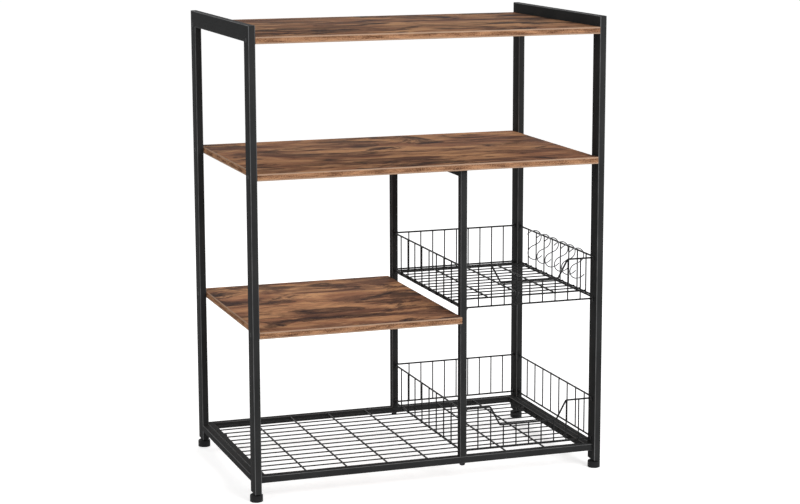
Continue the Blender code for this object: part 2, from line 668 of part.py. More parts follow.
# Feet: disc, neck and stud are one piece, screwed into a plug in the post
foot_profile = [(0, POST_BOTTOM + STUD_LONG), (STUD / 2, POST_BOTTOM + STUD_LONG),
                (STUD / 2, POST_BOTTOM - GAP), (FOOT_NECK / 2, POST_BOTTOM - GAP),
                (FOOT_NECK / 2, FOOT_THICK)]
for middle_z, first in ((FOOT_THICK - FOOT_EDGE, 90), (FOOT_EDGE, 0)):
    for step in range(EDGE_STEPS + 1):
        angle = math.radians(first - 90 * step / EDGE_STEPS)
        foot_profile.append((FOOT / 2 - FOOT_EDGE + FOOT_EDGE * math.cos(angle),
                             middle_z + FOOT_EDGE * math.sin(angle)))
foot_profile.append((0, 0))
foot_mesh = turned("foot", foot_profile, FOOT_SIDES)
stud_way = turned("stud_way", [(0, POST_BOTTOM + STUD_LONG + OVERRUN),
                               (STUD / 2 + GAP, POST_BOTTOM + STUD_LONG + OVERRUN),
                               (STUD / 2 + GAP, POST_BOTTOM - OVERRUN), (0, POST_BOTTOM - OVERRUN)],
                  FOOT_SIDES)
plug_size = (POST_FACE - 2 * POST_WALL - 2 * GAP, POST_DEPTH - 2 * POST_WALL - 2 * GAP, PLUG_TALL)
for side, x_side in SIDES:
    for end, y_side in ENDS:
        x, y = x_side * POST_X, y_side * POST_Y
        piece(f"foot_{side}_{end}", foot_mesh.copy(), rubber_look, (x, y, 0))
        name = f"foot_plug_{side}_{end}"
        plug = piece(name, block(name, plug_size), rubber_look, (x, y, POST_BOTTOM + PLUG_TALL / 2))
        combine(plug, cutter(name + "_way", stud_way.copy(), (x, y, 0)))
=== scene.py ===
import itertools
import math

import bmesh
import bpy
from mathutils import Matrix, Vector


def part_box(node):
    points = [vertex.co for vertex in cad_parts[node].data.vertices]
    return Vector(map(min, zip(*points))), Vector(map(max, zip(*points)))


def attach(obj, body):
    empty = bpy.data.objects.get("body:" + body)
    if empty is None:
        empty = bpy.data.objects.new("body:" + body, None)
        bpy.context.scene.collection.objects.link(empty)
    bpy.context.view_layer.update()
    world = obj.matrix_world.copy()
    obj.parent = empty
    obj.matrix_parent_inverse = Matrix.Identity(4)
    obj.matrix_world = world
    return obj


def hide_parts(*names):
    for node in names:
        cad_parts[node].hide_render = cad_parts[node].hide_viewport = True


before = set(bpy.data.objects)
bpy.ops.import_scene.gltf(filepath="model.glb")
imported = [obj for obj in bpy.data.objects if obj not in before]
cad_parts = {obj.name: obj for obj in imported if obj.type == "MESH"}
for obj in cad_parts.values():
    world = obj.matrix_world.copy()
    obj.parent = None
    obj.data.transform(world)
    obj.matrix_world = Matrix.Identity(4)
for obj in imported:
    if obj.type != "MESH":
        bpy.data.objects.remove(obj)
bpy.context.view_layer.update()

# Sizes in metres, in the rack's frame: +X to the basket side, the front faces -Y
WIDTH = 0.800
DEPTH = 0.500
GAP = 0.0003
POST_FACE = 0.015
POST_DEPTH = 0.038
POST_WALL = 0.0015
POST_ROUND = 0.0022
TOP_RAIL_TALL = 0.0355
BAR = 0.015
BAR_WALL = 0.0012
BAR_ROUND = 0.0016
TUBE_STEPS = 5
END_HOLLOW = 0.030
SAME_PLACE = 0.0001
ALONG = 0.9
MERGE = 0.000001
WIRE_MERGE = 0.000002
SHARP, RECESS_SHARP = 35, 30
WIRE_SHARP, BOARD_SHARP, WELD_SHARP = 40, 50, 60
HEXAGON = 6
CENTRE_X = 0.076
CENTRE_DEPTH = 0.018
FRAME_INSET = 0.0115
BOARD_ROUND = 0.0006
BOARD_ROUND_STEPS = 2
POST_BOTTOM = 0.019
GRID_CROSS_WIRE = 0.003
GRID_LONG_WIRE = 0.004
GRID_CROSS_BARS = 14
GRID_LONG_BARS = 7
GRID_SINK = 0.0055
RIM_WIRE = 0.004
UPRIGHT_WIRE = 0.003
WELD_SINK = 0.0008
WIRE_TAIL = 0.0008
WIRE_END_CLEAR = 0.0005
WIRE_SIDES = 12
WIRE_TIP = 0.0003
PANEL_TALL = 0.092
LOWER_PANEL = 0.0475
UPPER_PANEL = 0.367
FACE_BARS = 9
DIP_BARS = 2
DIP_DEEP = 0.0425
DIP_SLOPE = 0.0232
SIDE_BARS = 8
SIDE_END = 0.044
TRAY_RAIL_RISE = 0.0046
TRAY_RAIL_END = 0.0075
FLOOR_BARS = 12
FLOOR_END = 0.040
FLOOR_LONG_WIRE = 0.004
FLOOR_BRACE_SHARE = 0.262
PANEL_BACK = 0.0125
RIM_BEND = 0.005
BEND_STEPS = 7
EYE = 0.010
EYE_THICK = 0.0015
EYE_ASIDE = 0.0055
EYE_HOLE = 0.0036
EYE_EDGE_SHARE = 0.3
EYE_SIDES = 24
HOOK_WIRE = 0.0025
HOOK_TALL = 0.072
HOOK_WIDE = 0.036
HOOK_TIP_RADIUS = 0.025
HOOK_TIP_SHARE = 0.27
HOOK_STEPS = 22
HOOK_SIDES = 14
HOOK_TIP = 0.0005
HOOK_COUNT = 6

POST_X = WIDTH / 2 - POST_FACE / 2
INNER_X = WIDTH / 2 - POST_FACE
INNER_Y = DEPTH / 2 - POST_DEPTH
CENTRE_RIGHT = CENTRE_X + BAR / 2
CENTRE_IN_Y = DEPTH / 2 - FRAME_INSET - CENTRE_DEPTH
BAY_MID = (CENTRE_RIGHT + INNER_X) / 2
BAY_SPAN = INNER_X - CENTRE_RIGHT
FACE_PITCH = BAY_SPAN / (FACE_BARS + 1)
FACE_Y = DEPTH / 2 - FRAME_INSET - PANEL_BACK
SIDE_REACH = INNER_Y - SIDE_END
SIDE_PITCH = 2 * SIDE_REACH / (SIDE_BARS - 1)
FLOOR_REACH = INNER_Y - FLOOR_END
TRAY_RAIL_REACH = INNER_Y - TRAY_RAIL_END
LAP = (RIM_WIRE + UPRIGHT_WIRE) / 2 - WELD_SINK
HOOK_RADIUS = (HOOK_WIDE - HOOK_WIRE) / 2
SIDES = (("left", -1), ("right", 1))
ENDS = (("front", -1), ("back", 1))
X, Y, Z = 0, 1, 2
UPWARD = Vector((0, 0, 1))

rack_pieces = bpy.data.collections.new("rack_pieces")
bpy.context.scene.collection.children.link(rack_pieces)


# ---- shader node helpers and shared effects
def feed(tree, socket, value):
    """Link an output to a node's input, or set the input's own value."""
    if isinstance(value, bpy.types.NodeSocket):
        tree.links.new(value, socket)
    else:
        socket.default_value = value


def add(tree, kind, **settings):
    """A shader node; settings name its properties, or its inputs as in_Name."""
    node = tree.nodes.new(kind)
    for key, value in settings.items():
        if key.startswith("in_"):
            wanted = key[3:].replace("_", " ")
            feed(tree, node.inputs[int(wanted)] if wanted.isdigit() else node.inputs[wanted], value)
        else:
            setattr(node, key, value)
    return node


def ramp(tree, fac, stops):
    """The colour from a ramp of (place, colour) stops."""
    node = tree.nodes.new("ShaderNodeValToRGB")
    while len(node.color_ramp.elements) < len(stops):
        node.color_ramp.elements.new(0.5)
    for element, (place, colour) in zip(node.color_ramp.elements, stops):
        element.position = place
        element.color = (*colour, 1)
    tree.links.new(fac, node.inputs["Fac"])
    return node.outputs["Color"]


def blend_colours(tree, mode, fac, first, second):
    node = add(tree, "ShaderNodeMix", data_type="RGBA", blend_type=mode)
    for socket, value in ((node.inputs["Factor"], fac), (node.inputs[6], first), (node.inputs[7], second)):
        feed(tree, socket, value)
    return node.outputs[2]


def calculate(tree, operation, *values):
    node = add(tree, "ShaderNodeMath", operation=operation)
    for socket, value in zip(node.inputs, values):
        feed(tree, socket, value)
    return node.outputs[0]


def new_group(name, inputs, outputs):
    tree = bpy.data.node_groups.new(name, "ShaderNodeTree")
    for label, kind, value in inputs:
        socket = tree.interface.new_socket(label, in_out="INPUT", socket_type="NodeSocket" + kind)
        if value is not None:
            socket.default_value = value
    for label, kind in outputs:
        tree.interface.new_socket(label, in_out="OUTPUT", socket_type="NodeSocket" + kind)
    entry = tree.nodes.new("NodeGroupInput")
    result = tree.nodes.new("NodeGroupOutput")
    return tree, entry.outputs, result.inputs


def stretched_place(tree, place, scale):
    node = add(tree, "ShaderNodeVectorMath", operation="MULTIPLY", in_0=place)
    node.inputs[1].default_value = scale
    return node.outputs[0]


def make_coat_group():
    """Powder coat: faint mottling, a fine orange-peel height, and a painted highlight on rounded edges, a
    paler colour standing in for light gleaming there.
    """
    tree, given, result = new_group(
        "powder_coat",
        [("Place", "Vector", None), ("Facing", "Vector", None),
         ("Colour", "Color", (0.02, 0.02, 0.02, 1)), ("Mottle And Highlight Colour", "Color", (0.1, 0.1, 0.1, 1)),
         ("Painted Highlight Amount", "Float", 0.0), ("Peel Size", "Float", 900.0),
         ("Gloss Low", "Float", 0.34), ("Gloss High", "Float", 0.5)],
        [("Colour", "Color"), ("Roughness", "Float"), ("Height", "Float")])
    peel = add(tree, "ShaderNodeTexNoise", in_Vector=given["Place"], in_Scale=given["Peel Size"],
               in_Detail=2.0)
    cloud = add(tree, "ShaderNodeTexNoise", in_Vector=given["Place"], in_Scale=9.0, in_Detail=4.0)
    specks = add(tree, "ShaderNodeTexNoise", in_Vector=given["Place"], in_Scale=420.0, in_Detail=3.0)
    cloud_mask = ramp(tree, cloud.outputs["Fac"], [(0.35, (0, 0, 0)), (0.7, (1, 1, 1))])
    speck_mask = ramp(tree, specks.outputs["Fac"], [(0.63, (0, 0, 0)), (0.72, (1, 1, 1))])
    dust = calculate(tree, "MULTIPLY", speck_mask, 0.12)
    mottled = blend_colours(tree, "MIX", dust, given["Colour"], given["Mottle And Highlight Colour"])
    faint = calculate(tree, "MULTIPLY", cloud_mask, 0.06)
    clouded = blend_colours(tree, "MIX", faint, mottled, given["Mottle And Highlight Colour"])
    # Painted highlight: where the normal leans off every axis, on the rounded edges, the colour turns to the
    # paler second colour, standing in for light gleaming there. The noise only makes it uneven along the
    # edge.
    parts = add(tree, "ShaderNodeSeparateXYZ", in_0=given["Facing"])
    sizes = [calculate(tree, "ABSOLUTE", parts.outputs[axis]) for axis in ("X", "Y", "Z")]
    largest = calculate(tree, "MAXIMUM", sizes[0], calculate(tree, "MAXIMUM", sizes[1], sizes[2]))
    rounding = add(tree, "ShaderNodeMapRange", in_Value=largest, in_From_Min=0.975, in_From_Max=0.86,
                   in_To_Min=0.0, in_To_Max=1.0)
    along = add(tree, "ShaderNodeTexNoise", in_Vector=given["Place"], in_Scale=30.0, in_Detail=3.0)
    uneven = ramp(tree, along.outputs["Fac"], [(0.3, (0.55, 0.55, 0.55)), (0.65, (1, 1, 1))])
    rounded_highlight_amount = calculate(tree, "MULTIPLY", rounding.outputs[0], given["Painted Highlight Amount"])
    edge = calculate(tree, "MULTIPLY", rounded_highlight_amount, uneven)
    tree.links.new(blend_colours(tree, "MIX", edge, clouded, given["Mottle And Highlight Colour"]), result["Colour"])
    gloss = add(tree, "ShaderNodeMapRange", in_Value=cloud.outputs["Fac"], in_From_Min=0.3, in_From_Max=0.7)
    tree.links.new(given["Gloss Low"], gloss.inputs["To Min"])
    tree.links.new(given["Gloss High"], gloss.inputs["To Max"])
    tree.links.new(gloss.outputs[0], result["Roughness"])
    tree.links.new(peel.outputs["Fac"], result["Height"])
    return tree


def make_decor_group():
    """Rustic wood print: clouds of brown and dark stain drawn out along the grain, fine streaks and knots."""
    tree, given, result = new_group(
        "rustic_decor",
        [("Place", "Vector", None), ("Light", "Color", (0.4, 0.23, 0.13, 1)),
         ("Middle", "Color", (0.24, 0.12, 0.06, 1)), ("Dark", "Color", (0.1, 0.05, 0.03, 1)),
         ("Stain", "Color", (0.05, 0.035, 0.03, 1))],
        [("Colour", "Color"), ("Roughness", "Float"), ("Height", "Float")])

    def grain(place, scale, detail, roughness, distortion=0.0):
        return add(tree, "ShaderNodeTexNoise", in_Vector=stretched_place(tree, place, scale), in_Scale=1.0,
                   in_Detail=detail, in_Roughness=roughness, in_Distortion=distortion).outputs["Fac"]

    wander = add(tree, "ShaderNodeTexNoise", in_Vector=stretched_place(tree, given["Place"], (5, 9, 9)),
                 in_Scale=1.0, in_Detail=3.0)
    sway = add(tree, "ShaderNodeVectorMath", operation="MULTIPLY_ADD", in_0=wander.outputs["Color"],
               in_2=given["Place"])
    sway.inputs[1].default_value = (0.05, 0.03, 0.03)
    place = sway.outputs[0]
    broad = grain(place, (3.4, 7.5, 7.5), 9.0, 0.62, 1.0)
    broad_mask = ramp(tree, broad, [(0.42, (0, 0, 0)), (0.57, (1, 1, 1))])
    base = blend_colours(tree, "MIX", broad_mask, given["Middle"], given["Light"])
    bands = grain(place, (2.6, 12, 12), 9.0, 0.66, 0.8)
    band_mask = ramp(tree, bands, [(0.47, (0, 0, 0)), (0.58, (0.9, 0.9, 0.9))])
    banded = blend_colours(tree, "MIX", band_mask, base, given["Dark"])
    stain = grain(place, (4.4, 9.0, 9.0), 10.0, 0.66, 1.4)
    stain_mask = ramp(tree, stain, [(0.52, (0, 0, 0)), (0.57, (0.7, 0.7, 0.7)), (0.65, (1, 1, 1))])
    stained = blend_colours(tree, "MIX", stain_mask, banded, given["Stain"])
    streak = grain(place, (24, 210, 210), 6.0, 0.74)
    streak_tone = ramp(tree, streak,
                       [(0.34, (0.45, 0.43, 0.42)), (0.5, (0.95, 0.95, 0.95)), (0.66, (1, 1, 1))])
    grained = blend_colours(tree, "MULTIPLY", 0.85, stained, streak_tone)
    pale = grain(place, (9, 70, 70), 8.0, 0.78, 0.5)
    pale_mask = ramp(tree, pale, [(0.54, (0, 0, 0)), (0.66, (0.6, 0.6, 0.6))])
    paled = blend_colours(tree, "MIX", pale_mask, grained, given["Light"])
    knots = add(tree, "ShaderNodeTexVoronoi", in_Vector=stretched_place(tree, place, (4.6, 6.5, 6.5)),
                in_Scale=1.0)
    ragged = calculate(tree, "MULTIPLY", grain(place, (34, 60, 60), 5.0, 0.65), 0.20)
    knot_mask = ramp(tree, calculate(tree, "ADD", knots.outputs["Distance"], ragged),
                     [(0.13, (1, 1, 1)), (0.20, (0.55, 0.55, 0.55)), (0.30, (0, 0, 0))])
    knotted = blend_colours(tree, "MIX", knot_mask, paled, given["Stain"])
    tree.links.new(knotted, result["Colour"])
    rough = add(tree, "ShaderNodeMapRange", in_Value=streak, in_From_Min=0.3, in_From_Max=0.7,
                in_To_Min=0.5, in_To_Max=0.66)
    tree.links.new(rough.outputs[0], result["Roughness"])
    tree.links.new(streak, result["Height"])
    return tree


def make_edge_band_group():
    """Edge band: a fine fibrous print with faint clouds."""
    tree, given, result = new_group(
        "edge_band",
        [("Place", "Vector", None), ("Light", "Color", (0.42, 0.25, 0.15, 1)),
         ("Dark", "Color", (0.2, 0.1, 0.06, 1))],
        [("Colour", "Color")])
    dash = add(tree, "ShaderNodeTexNoise", in_Vector=stretched_place(tree, given["Place"], (340, 340, 620)),
               in_Scale=1.0, in_Detail=5.0, in_Roughness=0.8)
    cloud = add(tree, "ShaderNodeTexNoise", in_Vector=stretched_place(tree, given["Place"], (22, 22, 160)),
                in_Scale=1.0, in_Detail=4.0, in_Roughness=0.6)
    mixed = calculate(tree, "ADD", calculate(tree, "MULTIPLY", dash.outputs["Fac"], 0.6),
                      calculate(tree, "MULTIPLY", cloud.outputs["Fac"], 0.4))
    mask = ramp(tree, mixed, [(0.43, (0, 0, 0)), (0.57, (1, 1, 1))])
    tree.links.new(blend_colours(tree, "MIX", mask, given["Dark"], given["Light"]), result["Colour"])
    return tree


PRINT_COLOURS = {"Light": (0.540, 0.290, 0.150), "Middle": (0.290, 0.138, 0.078),
                 "Dark": (0.110, 0.056, 0.042), "Stain": (0.040, 0.028, 0.027)}
BAND_COLOURS = {"Light": (0.54, 0.285, 0.155), "Dark": (0.11, 0.050, 0.028)}
CORNER_COLOUR = (0.50, 0.34, 0.24, 1)
CORNER_AMOUNT = 0.75
BOARD_GLOSS = 0.003
COAT_HEIGHT, COAT_STRENGTH = 0.0002, 0.25
PRINT_HEIGHT, PRINT_STRENGTH = 0.0003, 0.12
PLATING_HEIGHT, PLATING_STRENGTH = 0.0001, 0.1

coat_group = make_coat_group()
decor_group = make_decor_group()
edge_group = make_edge_band_group()


def new_finish(name):
    material = bpy.data.materials.new(name)
    material.use_nodes = True
    tree = material.node_tree
    tree.nodes.clear()
    shader = add(tree, "ShaderNodeBsdfPrincipled")
    output = add(tree, "ShaderNodeOutputMaterial")
    tree.links.new(shader.outputs[0], output.inputs[0])
    place = add(tree, "ShaderNodeTexCoord").outputs["Object"]
    return material, tree, shader, place


def raise_surface(tree, shader, height, depth, strength):
    bump = add(tree, "ShaderNodeBump", in_Height=height, in_Strength=strength, in_Distance=depth)
    tree.links.new(bump.outputs["Normal"], shader.inputs["Normal"])


def coat_finish(name, colour, mottle_and_highlight_colour, painted_highlight_amount, peel, low, high, gloss):
    material, tree, shader, place = new_finish(name)
    coat = add(tree, "ShaderNodeGroup", node_tree=coat_group)
    tree.links.new(place, coat.inputs["Place"])
    tree.links.new(add(tree, "ShaderNodeTexCoord").outputs["Normal"], coat.inputs["Facing"])
    coat.inputs["Colour"].default_value = (*colour, 1)
    coat.inputs["Mottle And Highlight Colour"].default_value = (*mottle_and_highlight_colour, 1)
    coat.inputs["Painted Highlight Amount"].default_value = painted_highlight_amount
    coat.inputs["Peel Size"].default_value = peel
    coat.inputs["Gloss Low"].default_value = low
    coat.inputs["Gloss High"].default_value = high
    tree.links.new(coat.outputs["Colour"], shader.inputs["Base Color"])
    tree.links.new(coat.outputs["Roughness"], shader.inputs["Roughness"])
    shader.inputs["Specular IOR Level"].default_value = gloss
    raise_surface(tree, shader, coat.outputs["Height"], COAT_HEIGHT, COAT_STRENGTH)
    return material


def board_finish(name, shift, painted_light_tone):
    """Print on the faces, an edge band on the sides and a pale line where they meet.

    Shift moves the print, and the tone paints it darker or lighter in place of light and shade: the boards
    lower down, which get less light, are painted lighter.
    """
    material, tree, shader, place = new_finish(name)
    moved = add(tree, "ShaderNodeVectorMath", operation="ADD", in_0=place)
    moved.inputs[1].default_value = shift
    decor = add(tree, "ShaderNodeGroup", node_tree=decor_group)
    tree.links.new(moved.outputs[0], decor.inputs["Place"])
    for part, colour in PRINT_COLOURS.items():
        decor.inputs[part].default_value = (*(value * painted_light_tone for value in colour), 1)
    band = add(tree, "ShaderNodeGroup", node_tree=edge_group)
    tree.links.new(moved.outputs[0], band.inputs["Place"])
    for part, colour in BAND_COLOURS.items():
        band.inputs[part].default_value = (*colour, 1)
    split = add(tree, "ShaderNodeSeparateXYZ", in_0=add(tree, "ShaderNodeTexCoord").outputs["Normal"])
    upright = calculate(tree, "ABSOLUTE", split.outputs["Z"])
    side = calculate(tree, "LESS_THAN", upright, 0.5)
    colour = blend_colours(tree, "MIX", side, decor.outputs["Colour"], band.outputs["Colour"])
    off_face = calculate(tree, "LESS_THAN", upright, 0.96)
    corner = calculate(tree, "MULTIPLY", off_face, calculate(tree, "GREATER_THAN", upright, 0.12))
    corner_amount = calculate(tree, "MULTIPLY", corner, CORNER_AMOUNT)
    colour = blend_colours(tree, "MIX", corner_amount, colour, CORNER_COLOUR)
    tree.links.new(colour, shader.inputs["Base Color"])
    tree.links.new(decor.outputs["Roughness"], shader.inputs["Roughness"])
    raise_surface(tree, shader, decor.outputs["Height"], PRINT_HEIGHT, PRINT_STRENGTH)
    shader.inputs["Specular IOR Level"].default_value = BOARD_GLOSS
    return material


def plated_finish(name, colour, low, high):
    """Plating with faint drawing marks and handling smears."""
    material, tree, shader, place = new_finish(name)
    smear = add(tree, "ShaderNodeTexNoise", in_Vector=place, in_Scale=240.0, in_Detail=4.0)
    marks = add(tree, "ShaderNodeTexNoise", in_Vector=stretched_place(tree, place, (900, 900, 120)),
                in_Scale=1.0, in_Detail=2.0)
    mask = ramp(tree, smear.outputs["Fac"], [(0.35, (0, 0, 0)), (0.7, (1, 1, 1))])
    darker = tuple(part * 0.8 for part in colour)
    tree.links.new(blend_colours(tree, "MIX", mask, (*colour, 1), (*darker, 1)), shader.inputs["Base Color"])
    rough = add(tree, "ShaderNodeMapRange", in_Value=smear.outputs["Fac"], in_From_Min=0.3, in_From_Max=0.7,
                in_To_Min=low, in_To_Max=high)
    tree.links.new(rough.outputs[0], shader.inputs["Roughness"])
    shader.inputs["Metallic"].default_value = 1.0
    raise_surface(tree, shader, marks.outputs["Fac"], PLATING_HEIGHT, PLATING_STRENGTH)
    return material


# The frame's rounded edges get a painted highlight in the paler second colour, standing in for light gleaming
# there.
frame_coat = coat_finish("frame_coat", (0.029, 0.0293, 0.0296), (0.22, 0.221, 0.224), painted_highlight_amount=0.85,
                         peel=1400.0, low=0.42, high=0.55, gloss=0.003)
wire_coat = coat_finish("wire_coat", (0.014, 0.014, 0.0145), (0.05, 0.05, 0.052), painted_highlight_amount=0.0,
                        peel=1800.0, low=0.36, high=0.48, gloss=0.10)
weld_coat = coat_finish("weld_coat", (0.017, 0.017, 0.017), (0.05, 0.05, 0.05), painted_highlight_amount=0.0,
                        peel=900.0, low=0.42, high=0.55, gloss=0.10)
foot_plastic = coat_finish("foot_plastic", (0.016, 0.016, 0.017), (0.045, 0.045, 0.046), painted_highlight_amount=0.0,
                           peel=1100.0, low=0.45, high=0.6, gloss=0.12)
plug_plastic = coat_finish("plug_plastic", (0.018, 0.018, 0.018), (0.05, 0.05, 0.05), painted_highlight_amount=0.0,
                           peel=1000.0, low=0.5, high=0.62, gloss=0.12)
# The bolts' rounded edges get a painted highlight in the paler second colour, standing in for light gleaming
# there.
bolt_black = coat_finish("bolt_black", (0.020, 0.020, 0.021), (0.09, 0.09, 0.092), painted_highlight_amount=0.5,
                         peel=1600.0, low=0.30, high=0.42, gloss=0.02)
hook_plating = plated_finish("hook_plating", (0.12, 0.12, 0.124), low=0.14, high=0.26)


# ---- making and placing pieces
def place_piece(obj, material, body="rack", nodes=()):
    """Link a finished piece, give it its finish, and let it ride and stand for its nodes."""
    rack_pieces.objects.link(obj)
    obj.data.materials.clear()
    obj.data.materials.append(material)
    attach(obj, body)
    if nodes:
        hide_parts(*nodes)


def keep_node(name, material):
    """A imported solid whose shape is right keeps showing, with its finish."""
    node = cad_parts[name]
    node.data.materials.clear()
    node.data.materials.append(material)


def mesh_from(bm, name, angle=SHARP):
    bmesh.ops.recalc_face_normals(bm, faces=bm.faces)
    mesh = bpy.data.meshes.new(name)
    bm.to_mesh(mesh)
    bm.free()
    mesh.shade_smooth()
    mesh.set_sharp_from_angle(angle=math.radians(angle))
    return mesh


def rounded_block(size, rounding, along, steps):
    """A block about its middle, its edges along one axis rounded; along None rounds them all."""
    bm = bmesh.new()
    bmesh.ops.create_cube(bm, size=1)
    bmesh.ops.scale(bm, vec=size, verts=bm.verts)
    edges = []
    for edge in bm.edges:
        run = edge.verts[1].co - edge.verts[0].co
        if along is None or abs(run[along]) > run.length / 2:
            edges.append(edge)
    bmesh.ops.bevel(bm, geom=edges, offset=rounding, segments=steps, profile=0.5, affect="EDGES")
    return bm


def end_faces(bm, along, size):
    """The two faces that close a block along one axis."""
    found = []
    for face in bm.faces:
        away = abs(abs(face.calc_center_median()[along]) - size[along] / 2)
        if abs(face.normal[along]) > ALONG and away < SAME_PLACE:
            found.append(face)
    return found


def tube_piece(node, along, wall, rounding, shape=None):
    """A rounded rectangular tube in the box of its node, hollow at its ends."""
    low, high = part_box(node)
    size = high - low
    bm = rounded_block(size, rounding, along, TUBE_STEPS)
    bm.normal_update()
    depth = min(END_HOLLOW, size[along] / 4)
    for face in end_faces(bm, along, size):
        direction = face.normal.copy()
        bmesh.ops.inset_individual(bm, faces=[face], thickness=wall, use_even_offset=True)
        made = bmesh.ops.extrude_discrete_faces(bm, faces=[face])
        bmesh.ops.translate(bm, vec=-direction * depth, verts=made["faces"][0].verts)
    if shape:
        shape(bm)
    obj = bpy.data.objects.new(node + "_tube", mesh_from(bm, node + "_tube"))
    obj.location = (low + high) / 2
    place_piece(obj, frame_coat, nodes=(node,))


def slant_post(y_side):
    """The mitre at a post's top, from its inner side up to its outer side."""
    def shape(bm):
        for vert in bm.verts:
            if vert.co.z > 0:
                inside = POST_DEPTH / 2 - y_side * vert.co.y
                vert.co.z -= TOP_RAIL_TALL * inside / POST_DEPTH
    return shape


def slant_rail(bm):
    """The mitres at both ends of a top rail."""
    for vert in bm.verts:
        down = TOP_RAIL_TALL / 2 - vert.co.z
        vert.co.y -= math.copysign(POST_DEPTH * down / TOP_RAIL_TALL, vert.co.y)


def spun(name, profile, sides):
    """A turned mesh about +Z from (radius, height) points."""
    bm = bmesh.new()
    points = [bm.verts.new((radius, 0, height)) for radius, height in profile]
    edges = [bm.edges.new(pair) for pair in zip(points, points[1:])]
    bmesh.ops.spin(bm, geom=points + edges, cent=(0, 0, 0), axis=(0, 0, 1), dvec=(0, 0, 0),
                   angle=2 * math.pi, steps=sides, use_merge=True)
    bmesh.ops.remove_doubles(bm, verts=bm.verts, dist=MERGE)
    bmesh.ops.dissolve_degenerate(bm, edges=bm.edges, dist=MERGE)
    return mesh_from(bm, name)


def arc(centre, radius, first, last, steps):
    """Points of a profile along an arc, its angles in degrees."""
    points = []
    for step in range(steps + 1):
        angle = math.radians(first + (last - first) * step / steps)
        points.append((centre[0] + radius * math.cos(angle), centre[1] + radius * math.sin(angle)))
    return points


def at_seat(name, mesh, seat, nodes=()):
    """A black fastener with its +Z along its seat's direction."""
    place, direction = seat
    obj = bpy.data.objects.new(name, mesh.copy())
    obj.location = place
    obj.rotation_euler = UPWARD.rotation_difference(Vector(direction)).to_euler()
    place_piece(obj, bolt_black, nodes=nodes)


def with_recess(name, mesh, radius, top, depth, cross=False):
    """The same mesh with a hexagon or cross recess sunk in its head."""
    head = bpy.data.objects.new(name, mesh)
    bpy.context.scene.collection.objects.link(head)
    bm = bmesh.new()
    if cross:
        slim = radius / 2
        for size in ((radius * 2, slim, depth * 2), (slim, radius * 2, depth * 2)):
            start = len(bm.verts)
            bmesh.ops.create_cube(bm, size=1)
            bm.verts.ensure_lookup_table()
            bmesh.ops.scale(bm, vec=size, verts=bm.verts[start:])
    else:
        bmesh.ops.create_cone(bm, cap_ends=True, segments=HEXAGON, radius1=radius, radius2=radius,
                              depth=depth * 2)
    bmesh.ops.translate(bm, vec=(0, 0, top), verts=bm.verts)
    tool_mesh = bpy.data.meshes.new(name + "_recess")
    bm.to_mesh(tool_mesh)
    bm.free()
    tool = bpy.data.objects.new(name + "_recess", tool_mesh)
    bpy.context.scene.collection.objects.link(tool)
    step = head.modifiers.new("recess", "BOOLEAN")
    step.operation = "DIFFERENCE"
    step.solver = "EXACT"
    step.use_self = cross
    step.object = tool
    seen = head.evaluated_get(bpy.context.evaluated_depsgraph_get())
    result = bpy.data.meshes.new_from_object(seen)
    result.name = name
    bpy.data.objects.remove(head, do_unlink=True)
    bpy.data.objects.remove(tool, do_unlink=True)
    result.shade_smooth()
    result.set_sharp_from_angle(angle=math.radians(RECESS_SHARP))
    return result


def rounded(points, radius):
    """A route of straight lengths with its corners bent to a radius."""
    route = [Vector(points[0])]
    for before, corner, after in zip(points, points[1:], points[2:]):
        corner = Vector(corner)
        back = (Vector(before) - corner).normalized()
        ahead = (Vector(after) - corner).normalized()
        half = back.angle(ahead) / 2
        start = corner + back * radius / math.tan(half)
        middle = corner + (back + ahead).normalized() * radius / math.sin(half)
        arm = start - middle
        turn = math.pi - 2 * half
        axis = arm.cross(-back)
        for step in range(BEND_STEPS + 1):
            route.append(middle + Matrix.Rotation(turn * step / BEND_STEPS, 3, axis) @ arm)
    route.append(Vector(points[-1]))
    return route


def wire_mesh(name, routes, sides=WIRE_SIDES, tip=WIRE_TIP):
    """Round wires as one mesh; each route is (points, thickness), its ends slightly rounded."""
    curve = bpy.data.curves.new(name, "CURVE")
    curve.dimensions = "3D"
    curve.bevel_depth = 1
    curve.bevel_resolution = (sides - 4) // 2
    curve.use_fill_caps = True
    for route, thickness in routes:
        points = [Vector(point) for point in route]
        first = (points[1] - points[0]).normalized() * tip
        last = (points[-2] - points[-1]).normalized() * tip
        points = [points[0], points[0] + first] + points[1:-1] + [points[-1] + last, points[-1]]
        spline = curve.splines.new("POLY")
        spline.points.add(len(points) - 1)
        radius = thickness / 2
        for index, (point, place) in enumerate(zip(spline.points, points)):
            point.co = (*place, 1)
            point.radius = radius - tip if index in (0, len(points) - 1) else radius
    holder = bpy.data.objects.new(name, curve)
    bpy.context.scene.collection.objects.link(holder)
    seen = holder.evaluated_get(bpy.context.evaluated_depsgraph_get())
    raw = bpy.data.meshes.new_from_object(seen)
    bm = bmesh.new()
    bm.from_mesh(raw)
    bmesh.ops.remove_doubles(bm, verts=bm.verts, dist=WIRE_MERGE)
    bpy.data.objects.remove(holder, do_unlink=True)
    bpy.data.curves.remove(curve)
    bpy.data.meshes.remove(raw)
    return mesh_from(bm, name, WIRE_SHARP)


